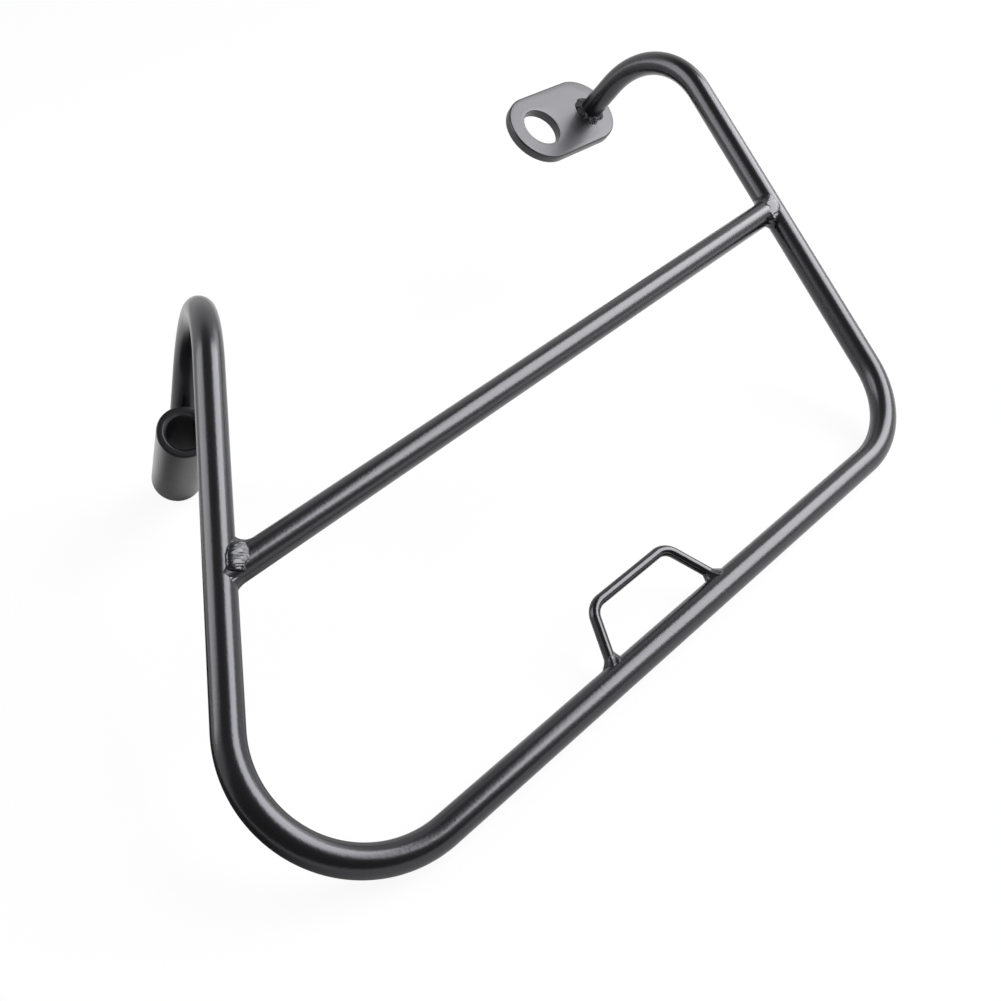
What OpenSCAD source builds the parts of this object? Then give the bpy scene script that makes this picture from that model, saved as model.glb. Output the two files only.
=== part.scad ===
// Pannier frame: one bent round steel bar, a cross bar, a wire strap loop, a thick
// mounting sleeve and an obround mounting plate, joined by weld beads.
//
// Frame: millimetres, +Z up from the surface that the frame lies on, +X along the lower
// bar towards the plate, +Y away from the lower bar. The origin is on that surface,
// under the middle of the whole frame.
//
// The hoop is laid out first in its own plane: x along the lower bar, z up the hoop and
// y behind it, with the lower left corner of the bar's centre line at zero. The module
// laid() then leans it back onto the lower bar and the rim of the sleeve.

/* [Bar stock] */
// Diameter of the bent bar and of the cross bar
bar_d = 12; // [8:0.5:20]
// Centre-line radius of every bend, one bending die
bend_r = 46; // [30:0.5:70]
// Diameter of the strap loop's wire
wire_d = 4.6; // [3:0.1:8]

/* [Hoop] */
// Lower bar, from corner to corner of the centre line
base_len = 386; // [300:0.5:460]
// Angle between the left side and the lower bar
left_angle = 56.7; // [50:0.1:80]
// Angle by which the right side turns up from the lower bar
right_angle = 75; // [60:0.1:90]
// Left side, from the lower corner to the start of the hairpin
left_len = 226.5; // [190:0.5:280]
// Right side, from the lower corner to the start of the top bend
right_len = 205.5; // [180:0.5:260]
// Turn of the hairpin behind the left side
hairpin_angle = 121.8; // [100:0.1:150]
// Straight after the hairpin, up to the sleeve's axis
sleeve_arm = 45; // [30:0.5:70]
// Turn of the bend at the top of the right side
top_angle = 87.2; // [70:0.1:110]
// How far the top bend leans inwards from square to the hoop
top_lean = 12.5; // [0:0.5:25]
// Straight after the top bend, up to the plate
plate_arm = 22; // [10:0.5:50]

/* [Cross bar] */
// Height of its left end, along the left side from the lower corner
cross_left = 139.5; // [110:0.5:170]
// Height of its right end, along the right side from the lower corner
cross_right = 129.5; // [100:0.5:160]

/* [Strap loop] */
// Left foot, along the lower bar from the left corner
strap_start = 175; // [120:0.5:220]
// Width of the loop at its feet
strap_foot_w = 70; // [50:0.5:100]
// Width of the loop at its top corners
strap_top_w = 45; // [30:0.5:80]
// Distance from the left foot to the left top corner, along the lower bar
strap_shift = 12; // [4:0.5:25]
// Height of the loop's centre line above that of the lower bar
strap_h = 27.5; // [20:0.5:45]
// Centre-line radius of the loop's top corners
strap_bend_r = 8; // [5:0.5:14]

/* [Mounting sleeve] */
// Outer diameter of the sleeve
sleeve_d = 24; // [18:0.5:32]
// Bore through the sleeve
sleeve_bore = 16; // [8:0.5:20]
// Length of the sleeve
sleeve_len = 64.5; // [40:0.5:90]
// Sleeve ahead of the arm's axis, on the side that faces the hoop
sleeve_front = 34; // [20:0.5:50]
// Chamfer on both rims of the bore
sleeve_chamfer = 1.2; // [0:0.1:2]
// Turn of the sleeve's axis about the hoop's height
sleeve_turn = -6.2; // [-12:0.1:12]

/* [Mounting plate] */
// Width of the plate, and diameter of its round ends
plate_w = 40.5; // [30:0.5:60]
// Distance between the centres of its round ends
plate_span = 36; // [20:0.5:60]
// Thickness of the plate
plate_t = 5.3; // [3:0.1:8]
// Bolt hole, centred on the left round end
plate_hole = 22; // [8:0.5:26]
// Distance from the bolt hole's centre to the bar
plate_reach = 39; // [30:0.5:60]
// Bar below the plate's middle line
plate_drop = 2.3; // [0:0.1:5]
// Turn of the plate about the hoop's height
plate_turn = 4.5; // [-12:0.1:12]
// Tip of the sleeve and the plate, so that the hoop stands out at its foot
mount_tip = 4.7; // [0:0.1:10]

/* [Weld beads] */
// Reach of a bead from its seam, on the bars
bead_w = 3.4; // [1.5:0.1:5]
// Ripples around one joint
bead_count = 12; // [8:1:20]
// Reach of a bead from its seam, at a foot of the strap loop
wire_bead_w = 1.9; // [1:0.1:3]
// Ripples around one foot of the strap loop
wire_bead_count = 7; // [5:1:12]
// Height of a bead over the flat between its edges, as a share of its reach
bead_crown = 0.28; // [0.1:0.02:0.5]
// Height of the ripples, as a share of a bead's reach
bead_ripple = 0.08; // [0:0.01:0.15]
// Share by which a bead's reach varies
bead_wobble = 0.14; // [0:0.01:0.3]

/* [Hidden] */
bar_r = bar_d / 2;
wire_r = wire_d / 2;
sleeve_r = sleeve_d / 2;
$fn = 48;
// A hair-thin band, as a bending die leaves, stands at each start and end of a bend
band_h = 0.05;
band_w = 0.2;
// The cross bar's coped ends stop this far from the centre line of the sides
cope_land = 2;
// Cross-sections of a bead round a bar and round the wire, and steps across a bead
bead_rings = 64;
wire_bead_rings = 40;
bead_steps = 7;
// How fully a bead swells between its edges: 1 is an arch, and less is fuller
bead_fullness = 0.75;
// How far a bead's edge leans off the bar's end where two bars of one size meet
bead_lean = 0.6;
// Rounding of the seam under a bead there, as a share of the bead's reach
bead_ease = 0.5;
// Times that a bead widens round its joint, and the turn that makes each bead differ
bead_lobes = 3;
bead_turn = 137;
// How far the ripples bow towards a bead's edges, in degrees of one ripple
bead_bow = 90;
// How far a cut runs past the faces that it opens
cut_past = 1;
// First guess of the hoop's lean, and the passes that settle it
lean_guess = 35;
lean_passes = 8;

behind = [0, 1, 0];
left_dir = [cos(left_angle), 0, sin(left_angle)];
right_dir = [cos(right_angle), 0, sin(right_angle)];
right_corner = [base_len, 0, 0];
// Lengths that the corner bends take off the straights
left_corner_cut = bend_r * tan((180 - left_angle) / 2);
right_corner_cut = bend_r * tan(right_angle / 2);

// Centre line of the left arm: the hairpin's end, its direction and the sleeve's axis
hairpin_end = left_dir * left_len + behind * bend_r * (1 - cos(hairpin_angle))
    + left_dir * bend_r * sin(hairpin_angle);
arm_dir = left_dir * cos(hairpin_angle) + behind * sin(hairpin_angle);
sleeve_axis = [cos(mount_tip) * sin(sleeve_turn), -cos(mount_tip) * cos(sleeve_turn), -sin(mount_tip)];
sleeve_mid = hairpin_end + arm_dir * sleeve_arm;
sleeve_rear = sleeve_mid + sleeve_axis * (sleeve_front - sleeve_len);

// Centre line of the right arm: the top bend's plane and end, and the point on the plate
top_out = behind * cos(top_lean) + cross(right_dir, behind) * sin(top_lean);
top_end = right_corner + right_dir * right_len + top_out * bend_r * (1 - cos(top_angle))
    + right_dir * bend_r * sin(top_angle);
top_dir = right_dir * cos(top_angle) + top_out * sin(top_angle);
plate_point = top_end + top_dir * plate_arm;

// Lean of the hoop: the sleeve's rear rim and the lower bar touch the same surface. The
// rim's reach below its centre depends on the lean, so the lean is found in a few passes.
function rim_reach(lean) = sleeve_r
    * sqrt(1 - pow(sleeve_axis[2] * sin(lean) - sleeve_axis[1] * cos(lean), 2));
function lean_of(passes, lean) = passes == 0 ? lean
    : lean_of(passes - 1, atan2(sleeve_rear[1], sleeve_rear[2])
        + asin((rim_reach(lean) - bar_r) / norm([sleeve_rear[1], sleeve_rear[2]])));
hoop_lean = lean_of(lean_passes, lean_guess);

// Directions of the finished frame, as seen in the hoop's own axes
laid_y = [0, sin(hoop_lean), cos(hoop_lean)];
laid_x = [1, 0, 0];

// Plate: its normal out of the bar's face, its long and short directions and its two ends
plate_axis = [cos(mount_tip) * sin(plate_turn), -cos(mount_tip) * cos(plate_turn), -sin(mount_tip)];
plate_long = [cos(plate_turn), sin(plate_turn), 0];
plate_short = cross(plate_axis, plate_long);
hole_mid = plate_point - plate_long * plate_reach + plate_short * plate_drop;
plate_discs = [for (x = [0, plate_span], z = [0, plate_t]) hole_mid + plate_long * x - plate_axis * z];

// Outermost reaches, for an origin under the middle: a disc's rim along a direction, and
// the top bend where it runs square to the frame's length
function disc_reach(mid, axis, way, r) = mid * way + r * sqrt(1 - pow(axis * way, 2));
top_side_at = atan2(right_dir[0], -top_out[0]);
top_side_x = right_corner[0] + right_dir[0] * right_len + bar_r
    + bend_r * (top_out[0] * (1 - cos(top_side_at)) + right_dir[0] * sin(top_side_at));
low_x = left_corner_cut - bend_r - bar_r;
high_x = max([top_side_x, for (m = plate_discs) disc_reach(m, plate_axis, laid_x, plate_w / 2)]);
low_y = -bar_r;
high_y = max([disc_reach(sleeve_rear, sleeve_axis, laid_y, sleeve_r),
    for (m = plate_discs) disc_reach(m, plate_axis, laid_y, plate_w / 2)]);

// Ends of the cross bar's centre line
cross_a = left_dir * cross_left;
cross_b = right_corner + right_dir * cross_right;
cross_len = norm(cross_b - cross_a);

// Corners of the strap loop's centre line, as [x, z] in the hoop's plane
strap_pts = [
    [strap_start, 0],
    [strap_start + strap_shift, strap_h],
    [strap_start + strap_shift + strap_top_w, strap_h],
    [strap_start + strap_foot_w, 0],
];
strap_rise_a = atan2(strap_h, strap_shift);
strap_rise_b = atan2(strap_h, strap_foot_w - strap_shift - strap_top_w);
strap_cut_a = strap_bend_r * tan(strap_rise_a / 2);
strap_cut_b = strap_bend_r * tan(strap_rise_b / 2);

// Colours of the coated parts and of the beads
coat = [0.09, 0.09, 0.1];
bead_coat = [0.13, 0.13, 0.14];

// Leans the hoop back from upright and sets it on the surface, over the origin.
module laid() {
    translate([-(low_x + high_x) / 2, -(low_y + high_y) / 2, bar_r])
        rotate([hoop_lean - 90, 0, 0])
            children();
}

// Turns +Z to point from a to b, which differ in any way, and starts there.
module along(a, b) {
    way = b - a;
    translate(a)
        rotate([0, acos(way[2] / norm(way)), atan2(way[1], way[0])])
            children();
}

// The band around a start or end of a bend.
module band(d) {
    translate([0, 0, -band_w / 2])
        cylinder(d = d + 2 * band_h, h = band_w);
}

// A straight of round stock up +Z, with what follows at its end.
module straight(d, length) {
    cylinder(d = d, h = length);
    translate([0, 0, length])
        children();
}

// A bend of round stock that leaves +Z and turns towards +X, with what follows at its end.
module bend(d, radius, angle) {
    band(d);
    translate([radius, 0, 0])
        rotate([90, 0, 0])
            rotate([0, 0, 180 - angle])
                rotate_extrude(angle = angle)
                    translate([radius, 0])
                        circle(d = d);
    translate([radius * (1 - cos(angle)), 0, radius * sin(angle)])
        rotate([0, angle, 0]) {
            band(d);
            children();
        }
}

// Half of the hoop from the middle of the lower bar: corner, side, upper bend and arm.
// side is the length of the side, cut what the corner takes off it.
module hoop_half(base, cut, turn, side, roll, upper_turn, arm) {
    straight(bar_d, base - cut)
        bend(bar_d, bend_r, turn)
            straight(bar_d, side - cut)
                rotate([0, 0, roll])
                    bend(bar_d, bend_r, upper_turn)
                        straight(bar_d, arm);
}

// The whole bent bar, with arms long enough to run into the sleeve and the plate.
module bent_bar() {
    half = base_len / 2;
    // To the left: +X of the walk points up the hoop
    translate([half, 0, 0])
        rotate([0, -90, 0])
            hoop_half(half, left_corner_cut, 180 - left_angle, left_len, 90, hairpin_angle,
                sleeve_arm);
    // To the right
    translate([half, 0, 0])
        rotate([0, 90, 0])
            rotate([0, 0, 180])
                hoop_half(half, right_corner_cut, right_angle, right_len, top_lean - 90,
                    top_angle, plate_arm + plate_t);
}

// The frame of the sleeve: +Z along its axis to the end that faces the hoop.
module at_sleeve() {
    translate(sleeve_mid)
        rotate([90 + mount_tip, 0, sleeve_turn])
            children();
}

// The frame of the plate: +Z out of the face that the bar stands on, zero on that face
// at the bolt hole's centre, +X towards the bar.
module at_plate() {
    translate(plate_point)
        rotate([90 + mount_tip, 0, plate_turn])
            translate([-plate_reach, plate_drop, 0])
                children();
}

module sleeve_outside() {
    translate([0, 0, sleeve_front - sleeve_len])
        cylinder(d = sleeve_d, h = sleeve_len);
}

// What lies behind the plate's front face, to cut the bar's end along it.
module behind_plate() {
    translate([plate_reach - bend_r, -bend_r, -2 * plate_t])
        cube([2 * bend_r, 2 * bend_r, 2 * plate_t]);
}

module hoop_bar() {
    color(coat)
        laid()
            difference() {
                bent_bar();
                at_sleeve()
                    sleeve_outside();
                at_plate()
                    behind_plate();
            }
}

// Uncut cross bar, from side to side.
module cross_stock() {
    along(cross_a, cross_b)
        translate([0, 0, cope_land])
            cylinder(d = bar_d, h = cross_len - 2 * cope_land);
}

// Uncut straight of the left or right side of the hoop.
module left_stock() {
    along([0, 0, 0], left_dir)
        cylinder(d = bar_d, h = left_len);
}

module right_stock() {
    along(right_corner, right_corner + right_dir)
        cylinder(d = bar_d, h = right_len);
}

module lower_stock() {
    rotate([0, 90, 0])
        cylinder(d = bar_d, h = base_len);
}

module cross_bar() {
    color(coat)
        laid()
            difference() {
                cross_stock();
                left_stock();
                right_stock();
            }
}

// The strap loop's wire, with both feet run into the lower bar.
module strap_wire() {
    foot_a = norm(strap_pts[1] - strap_pts[0]);
    foot_b = norm(strap_pts[3] - strap_pts[2]);
    translate([strap_pts[0][0], 0, 0])
        rotate([0, 90 - strap_rise_a, 0])
            straight(wire_d, foot_a - strap_cut_a)
                bend(wire_d, strap_bend_r, strap_rise_a)
                    straight(wire_d, strap_top_w - strap_cut_a - strap_cut_b)
                        bend(wire_d, strap_bend_r, strap_rise_b)
                            straight(wire_d, foot_b - strap_cut_b);
}

module strap_loop() {
    color(coat)
        laid()
            difference() {
                strap_wire();
                lower_stock();
            }
}

module mount_sleeve() {
    color(coat)
        laid()
            at_sleeve()
                difference() {
                    sleeve_outside();
                    translate([0, 0, sleeve_front - sleeve_len - cut_past])
                        cylinder(d = sleeve_bore, h = sleeve_len + 2 * cut_past);
                    translate([0, 0, sleeve_front - sleeve_chamfer])
                        cylinder(d1 = sleeve_bore, d2 = sleeve_bore + 4 * sleeve_chamfer,
                            h = 2 * sleeve_chamfer);
                    translate([0, 0, sleeve_front - sleeve_len - sleeve_chamfer])
                        cylinder(d1 = sleeve_bore + 4 * sleeve_chamfer, d2 = sleeve_bore,
                            h = 2 * sleeve_chamfer);
                }
}

module mount_plate() {
    color(coat)
        laid()
            at_plate()
                translate([0, 0, -plate_t])
                    difference() {
                        union() {
                            cylinder(d = plate_w, h = plate_t);
                            translate([plate_span, 0, 0])
                                cylinder(d = plate_w, h = plate_t);
                            translate([0, -plate_w / 2, 0])
                                cube([plate_span, plate_w, plate_t]);
                        }
                        translate([0, 0, -cut_past])
                            cylinder(d = plate_hole, h = plate_t + 2 * cut_past);
                    }
}

// A face that a bar is welded to is [point, axis, r]: round about its axis, or flat with
// that normal where r is 0.
function off_axis(v, axis) = v - axis * (v * axis);
function unit(v) = v / norm(v);
function face_normal(p, face) = face[2] == 0 ? face[1] : unit(off_axis(p - face[0], face[1]));
function face_drop(p, face) = face[2] == 0 ? p - face[1] * ((p - face[0]) * face[1])
    : p - off_axis(p - face[0], face[1]) + face_normal(p, face) * face[2];

// How far a line from p runs along way to the far side of a face. A soft rounding takes the
// edge off the seam where two bars of one size meet.
function far_run(p, way, face, soft) = face[2] == 0
    ? (face[0] - p) * face[1] / (way * face[1])
    : let (w = off_axis(way, face[1]))
        let (q = off_axis(p - face[0], face[1]))
        let (back = q * w / (w * w))
        sqrt(max(back * back - (q * q - pow(face[2], 2)) / (w * w), 0) + soft * soft) - back;

// Cross-section of a bead at angle u round a bar of radius r that leaves foot along way:
// from the seam out over the face to the bead's edge, over its rippled top, and down to
// its edge on the bar.
function bead_section(foot, way, side, r, face, reach, ripples, u) =
    let (spoke = side * cos(u) + cross(way, side) * sin(u))
    let (start = foot + spoke * r)
    let (seam = start + way * far_run(start, way, face, 0))
    let (eased = start + way * far_run(start, way, face, reach * bead_ease))
    let (normal = face_normal(seam, face))
    let (size = reach * (1 + bead_wobble * sin(bead_lobes * u + bead_turn * ripples)))
    let (away = unit(off_axis(spoke, normal) - off_axis(way, normal) * bead_lean))
    let (edge = face_drop(eased + away * size, face))
    let (top = eased + way * size)
    let (swell = unit(normal + spoke))
    let (proud = max((seam - (edge + top) / 2) * swell, 0) + reach * bead_crown)
    [
        seam,
        for (t = [1 / 3, 2 / 3]) face_drop(seam + (edge - seam) * t, face),
        edge,
        for (k = [1:bead_steps - 1])
            let (v = k / bead_steps)
            let (arch = pow(4 * v * (1 - v), bead_fullness))
            let (ripple = reach * bead_ripple * cos(ripples * u + bead_bow * pow(2 * v - 1, 2)))
            edge + (top - edge) * v + swell * arch * (proud + ripple),
        top,
    ];

// A weld bead round a bar, from its cross-sections at even angles.
module bead(foot, way, side, r, face, reach, ripples, rings) {
    sections = [for (i = [0:rings - 1])
        bead_section(foot, way, side, r, face, reach, ripples, 360 * i / rings)];
    n = len(sections[0]);
    polyhedron(
        points = [for (section = sections) each section],
        faces = [for (i = [0:rings - 1], j = [0:n - 1])
            let (k = (j + 1) % n)
            let (next = (i + 1) % rings)
            each [[i * n + j, next * n + j, next * n + k], [i * n + j, next * n + k, i * n + k]]]
    );
}

module cross_weld_left() {
    color(bead_coat)
        laid()
            bead(cross_a, unit(cross_b - cross_a), behind, bar_r,
                [cross_a, left_dir, bar_r], bead_w, bead_count, bead_rings);
}

module cross_weld_right() {
    color(bead_coat)
        laid()
            bead(cross_b, unit(cross_a - cross_b), behind, bar_r,
                [cross_b, right_dir, bar_r], bead_w, bead_count, bead_rings);
}

module sleeve_weld() {
    color(bead_coat)
        laid()
            bead(sleeve_mid, -arm_dir, unit(cross(sleeve_axis, arm_dir)), bar_r,
                [sleeve_mid, sleeve_axis, sleeve_r], bead_w, bead_count, bead_rings);
}

module plate_weld() {
    color(bead_coat)
        laid()
            bead(plate_point, -top_dir, unit(off_axis(plate_long, top_dir)), bar_r,
                [plate_point, plate_axis, 0], bead_w, bead_count, bead_rings);
}

// Bead at a foot of the strap loop, where the wire leaves the lower bar towards top.
module strap_bead(foot, top) {
    color(bead_coat)
        laid()
            bead([foot[0], 0, 0], unit([top[0] - foot[0], 0, top[1]]), behind, wire_r,
                [[0, 0, 0], [1, 0, 0], bar_r], wire_bead_w, wire_bead_count, wire_bead_rings);
}

module strap_weld_left() {
    strap_bead(strap_pts[0], strap_pts[1]);
}

module strap_weld_right() {
    strap_bead(strap_pts[3], strap_pts[2]);
}

hoop_bar();
cross_bar();
strap_loop();
mount_sleeve();
mount_plate();
cross_weld_left();
cross_weld_right();
sleeve_weld();
plate_weld();
strap_weld_left();
strap_weld_right();
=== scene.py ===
"""Side-bag frame of bent and welded round bar, finished in black powder coat.

Sizes are millimetres until a mesh is made. The hoop is laid out in its own axes, x along
the lower bar from its left corner, y behind the hoop and z up the hoop, and Layout.laid
leans it back onto the floor as the CAD part has it.
"""

import logging
import math
from dataclasses import dataclass, field
from enum import Enum
from functools import cached_property
from typing import Optional, Union

import bpy
import numpy as np
from mathutils import Matrix, Vector


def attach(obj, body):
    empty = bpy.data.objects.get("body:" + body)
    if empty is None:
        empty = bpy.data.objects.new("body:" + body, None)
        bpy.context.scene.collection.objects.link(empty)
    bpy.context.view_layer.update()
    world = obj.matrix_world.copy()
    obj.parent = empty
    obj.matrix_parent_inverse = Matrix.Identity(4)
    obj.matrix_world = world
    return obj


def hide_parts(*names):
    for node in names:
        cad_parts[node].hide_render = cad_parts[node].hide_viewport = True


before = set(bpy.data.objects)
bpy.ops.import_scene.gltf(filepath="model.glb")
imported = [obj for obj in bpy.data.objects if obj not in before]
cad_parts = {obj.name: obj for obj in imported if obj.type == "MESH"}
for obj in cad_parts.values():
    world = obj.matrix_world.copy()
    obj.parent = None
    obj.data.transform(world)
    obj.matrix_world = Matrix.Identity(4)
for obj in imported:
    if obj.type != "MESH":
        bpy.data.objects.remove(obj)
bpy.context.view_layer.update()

log = logging.getLogger("pannier_frame")

MM = 0.001
BODY = "root"
BORE_WALL = "bore_wall"
FULL_TURN = 2 * math.pi
# How far a coped end runs into the face that it meets, in millimetres
COPE_SINK = 0.05
# Radii of the rings on a bar's end, as shares of the bar's own
DISC_SHARES = (0.25, 0.5, 0.75, 0.93)
# Sockets of a Mix node between its factor and its colours, and its colour output
MIX_SKIPPED = 5
MIX_COLOUR = 2


# Vectors and surfaces

def unit(v: np.ndarray) -> np.ndarray:
    """Scales vectors to length one, along the last axis."""
    return v / np.linalg.norm(v, axis=-1, keepdims=True)


def polar(degrees: float, first: np.ndarray, second: np.ndarray) -> np.ndarray:
    """Points a direction at an angle from one axis towards another.

    Args:
        degrees: angle from the first axis.
        first: unit axis at zero degrees.
        second: unit axis at ninety degrees.

    Returns:
        The unit direction first * cos + second * sin.
    """
    a = math.radians(degrees)
    return first * math.cos(a) + second * math.sin(a)


def square_part(v: np.ndarray, axis: np.ndarray) -> np.ndarray:
    """The part of vectors that is square to unit axes, v - (v . axis) * axis."""
    return v - (v * axis).sum(-1, keepdims=True) * axis


def round_arc(turn: Union[float, np.ndarray], ahead: np.ndarray,
              towards: np.ndarray) -> np.ndarray:
    """Place on an arc of unit radius, (1 - cos turn) * towards + sin turn * ahead."""
    return (1 - np.cos(turn)) * towards + np.sin(turn) * ahead


def bend_cut(radius: float, degrees: float) -> float:
    """How much of each straight beside its corner a bend takes up."""
    return radius * math.tan(math.radians(degrees) / 2)


X, Y, Z = np.eye(3)


@dataclass(frozen=True)
class RoundFace:
    """The outside of round stock, which another bar is coped to."""

    centre: np.ndarray
    axis: np.ndarray
    radius: float

    def meet(self, start: np.ndarray, way: np.ndarray) -> tuple[np.ndarray, np.ndarray]:
        """Meets straight lines with the whole round.

        Along a line start + s * way, the part square to the axis has the length of the
        radius at the two roots middle -+ sqrt(spread) of a quadratic in s.

        Args:
            start: start points, (..., 3).
            way: unit direction, (3,).

        Returns:
            The middle of the roots and the spread, which is never negative, both (...).
        """
        flat_start = square_part(start - self.centre, self.axis)
        flat_way = square_part(way, self.axis)
        a = flat_way @ flat_way
        middle = -(flat_start @ flat_way) / a
        spread = middle**2 - ((flat_start**2).sum(-1) - self.radius**2) / a
        return middle, np.maximum(spread, 0)

    def reach(self, start: np.ndarray, way: np.ndarray) -> np.ndarray:
        """Distance along each line to the face that looks at it, the nearer root."""
        middle, spread = self.meet(start, way)
        return middle - np.sqrt(spread)

    def far(self, start: np.ndarray, way: np.ndarray, ease: float) -> np.ndarray:
        """Runs straight lines to the far side of the face, where a bar leaves it.

        The further root is eased to middle + sqrt(spread + ease^2), which takes the edge
        off the seam between two bars of one size.

        Args:
            start: start points, (..., 3).
            way: unit direction, (3,).
            ease: how much to round the seam off.

        Returns:
            The distance to the far side along each line, (...).
        """
        middle, spread = self.meet(start, way)
        return middle + np.sqrt(spread + ease**2)

    def drop(self, points: np.ndarray) -> np.ndarray:
        """Moves points onto the face, square to the axis."""
        flat = square_part(points - self.centre, self.axis)
        return points - flat + unit(flat) * self.radius

    def normal(self, points: np.ndarray) -> np.ndarray:
        """Outward normals of the face at points on it."""
        return unit(square_part(points - self.centre, self.axis))


@dataclass(frozen=True)
class FlatFace:
    """A flat face, which a bar ends on."""

    centre: np.ndarray
    axis: np.ndarray

    def reach(self, start: np.ndarray, way: np.ndarray) -> np.ndarray:
        """Runs straight lines to the face.

        Args:
            start: start points, (..., 3).
            way: unit direction, (3,).

        Returns:
            The distance to the face along each line, (...).
        """
        return ((self.centre - start) @ self.axis) / (way @ self.axis)

    def far(self, start: np.ndarray, way: np.ndarray, ease: float) -> np.ndarray:
        """The same distance, as a flat face has no far side and needs no easing."""
        return self.reach(start, way)

    def drop(self, points: np.ndarray) -> np.ndarray:
        """Moves points onto the face, square to it."""
        return self.centre + square_part(points - self.centre, self.axis)

    def normal(self, points: np.ndarray) -> np.ndarray:
        """Outward normals of the face at points on it."""
        return np.broadcast_to(self.axis, points.shape)


Face = Union[RoundFace, FlatFace]


# Sizes and places

@dataclass(frozen=True)
class Layout:
    """Driving sizes of the part, in millimetres and degrees, and what follows from them."""

    bar_d: float = 12
    bend_r: float = 46
    wire_d: float = 4.6
    base_len: float = 386
    left_angle: float = 56.7
    right_angle: float = 75
    left_len: float = 226.5
    right_len: float = 205.5
    hairpin_angle: float = 121.8
    sleeve_arm: float = 45
    top_angle: float = 87.2
    top_lean: float = 12.5
    plate_arm: float = 22
    cross_left: float = 139.5
    cross_right: float = 129.5
    strap_start: float = 175
    strap_foot_w: float = 70
    strap_top_w: float = 45
    strap_shift: float = 12
    strap_h: float = 27.5
    strap_bend_r: float = 8
    sleeve_d: float = 24
    sleeve_bore: float = 16
    sleeve_len: float = 64.5
    sleeve_front: float = 34
    sleeve_chamfer: float = 1.2
    sleeve_turn: float = -6.2
    plate_w: float = 40.5
    plate_span: float = 36
    plate_t: float = 5.3
    plate_hole: float = 22
    plate_reach: float = 39
    plate_drop: float = 2.3
    plate_turn: float = 4.5
    mount_tip: float = 4.7
    lean_guess: float = 35
    lean_passes: int = 8

    @property
    def bar_r(self) -> float:
        """Radius of the bar."""
        return self.bar_d / 2

    @cached_property
    def left_dir(self) -> np.ndarray:
        """Way up the left side."""
        return polar(self.left_angle, X, Z)

    @cached_property
    def right_dir(self) -> np.ndarray:
        """Way up the right side."""
        return polar(self.right_angle, X, Z)

    @cached_property
    def right_corner(self) -> np.ndarray:
        """Lower right corner of the centre line."""
        return X * self.base_len

    @cached_property
    def arm_dir(self) -> np.ndarray:
        """Way along the left arm to the sleeve."""
        return polar(self.hairpin_angle, self.left_dir, Y)

    @cached_property
    def hairpin_end(self) -> np.ndarray:
        """End of the hairpin, where the left arm starts."""
        bend = round_arc(math.radians(self.hairpin_angle), self.left_dir, Y)
        return self.left_dir * self.left_len + bend * self.bend_r

    def mount_axis(self, turn: float) -> np.ndarray:
        """Axis of the sleeve or the plate, towards the side that faces the hoop."""
        level = -polar(turn, Y, -X)
        return polar(self.mount_tip, level, -Z)

    @cached_property
    def sleeve_axis(self) -> np.ndarray:
        """Axis of the sleeve."""
        return self.mount_axis(self.sleeve_turn)

    @cached_property
    def sleeve_mid(self) -> np.ndarray:
        """Point on the sleeve's axis that the left arm runs to."""
        return self.hairpin_end + self.arm_dir * self.sleeve_arm

    @cached_property
    def sleeve_rear(self) -> np.ndarray:
        """Centre of the sleeve's rear end."""
        return self.sleeve_mid + self.sleeve_axis * (self.sleeve_front - self.sleeve_len)

    @cached_property
    def top_out(self) -> np.ndarray:
        """Direction that the top bend turns towards."""
        return polar(self.top_lean, Y, np.cross(self.right_dir, Y))

    @cached_property
    def top_dir(self) -> np.ndarray:
        """Way along the right arm to the plate."""
        return polar(self.top_angle, self.right_dir, self.top_out)

    @cached_property
    def plate_point(self) -> np.ndarray:
        """Point on the plate's front face that the right arm runs to."""
        bend = round_arc(math.radians(self.top_angle), self.right_dir, self.top_out)
        start = self.right_corner + self.right_dir * self.right_len
        return start + bend * self.bend_r + self.top_dir * self.plate_arm

    @cached_property
    def plate_axis(self) -> np.ndarray:
        """Normal of the plate's front face."""
        return self.mount_axis(self.plate_turn)

    @cached_property
    def plate_long(self) -> np.ndarray:
        """Long direction of the plate, from the bolt hole to the bar."""
        return polar(self.plate_turn, X, Y)

    @cached_property
    def plate_short(self) -> np.ndarray:
        """Short direction of the plate."""
        return np.cross(self.plate_axis, self.plate_long)

    @cached_property
    def hole_mid(self) -> np.ndarray:
        """Centre of the bolt hole on the front face."""
        return (self.plate_point - self.plate_long * self.plate_reach
                + self.plate_short * self.plate_drop)

    @cached_property
    def cross_ends(self) -> tuple[np.ndarray, np.ndarray]:
        """Ends of the cross bar's centre line, on those of the two sides."""
        return (self.left_dir * self.cross_left,
                self.right_corner + self.right_dir * self.cross_right)

    @cached_property
    def strap_corners(self) -> list[np.ndarray]:
        """Corners of the strap loop's centre line, from the left foot to the right."""
        left = self.strap_start + self.strap_shift
        return [X * self.strap_start, X * left + Z * self.strap_h,
                X * (left + self.strap_top_w) + Z * self.strap_h,
                X * (self.strap_start + self.strap_foot_w)]

    @cached_property
    def lower_face(self) -> RoundFace:
        """Outside of the lower bar."""
        return RoundFace(np.zeros(3), X, self.bar_r)

    @cached_property
    def side_faces(self) -> tuple[RoundFace, RoundFace]:
        """Outsides of the hoop's left and right sides."""
        return (RoundFace(np.zeros(3), self.left_dir, self.bar_r),
                RoundFace(self.right_corner, self.right_dir, self.bar_r))

    @cached_property
    def sleeve_face(self) -> RoundFace:
        """Outside of the sleeve."""
        return RoundFace(self.sleeve_mid, self.sleeve_axis, self.sleeve_d / 2)

    @cached_property
    def plate_face(self) -> FlatFace:
        """Front face of the plate."""
        return FlatFace(self.plate_point, self.plate_axis)

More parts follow.
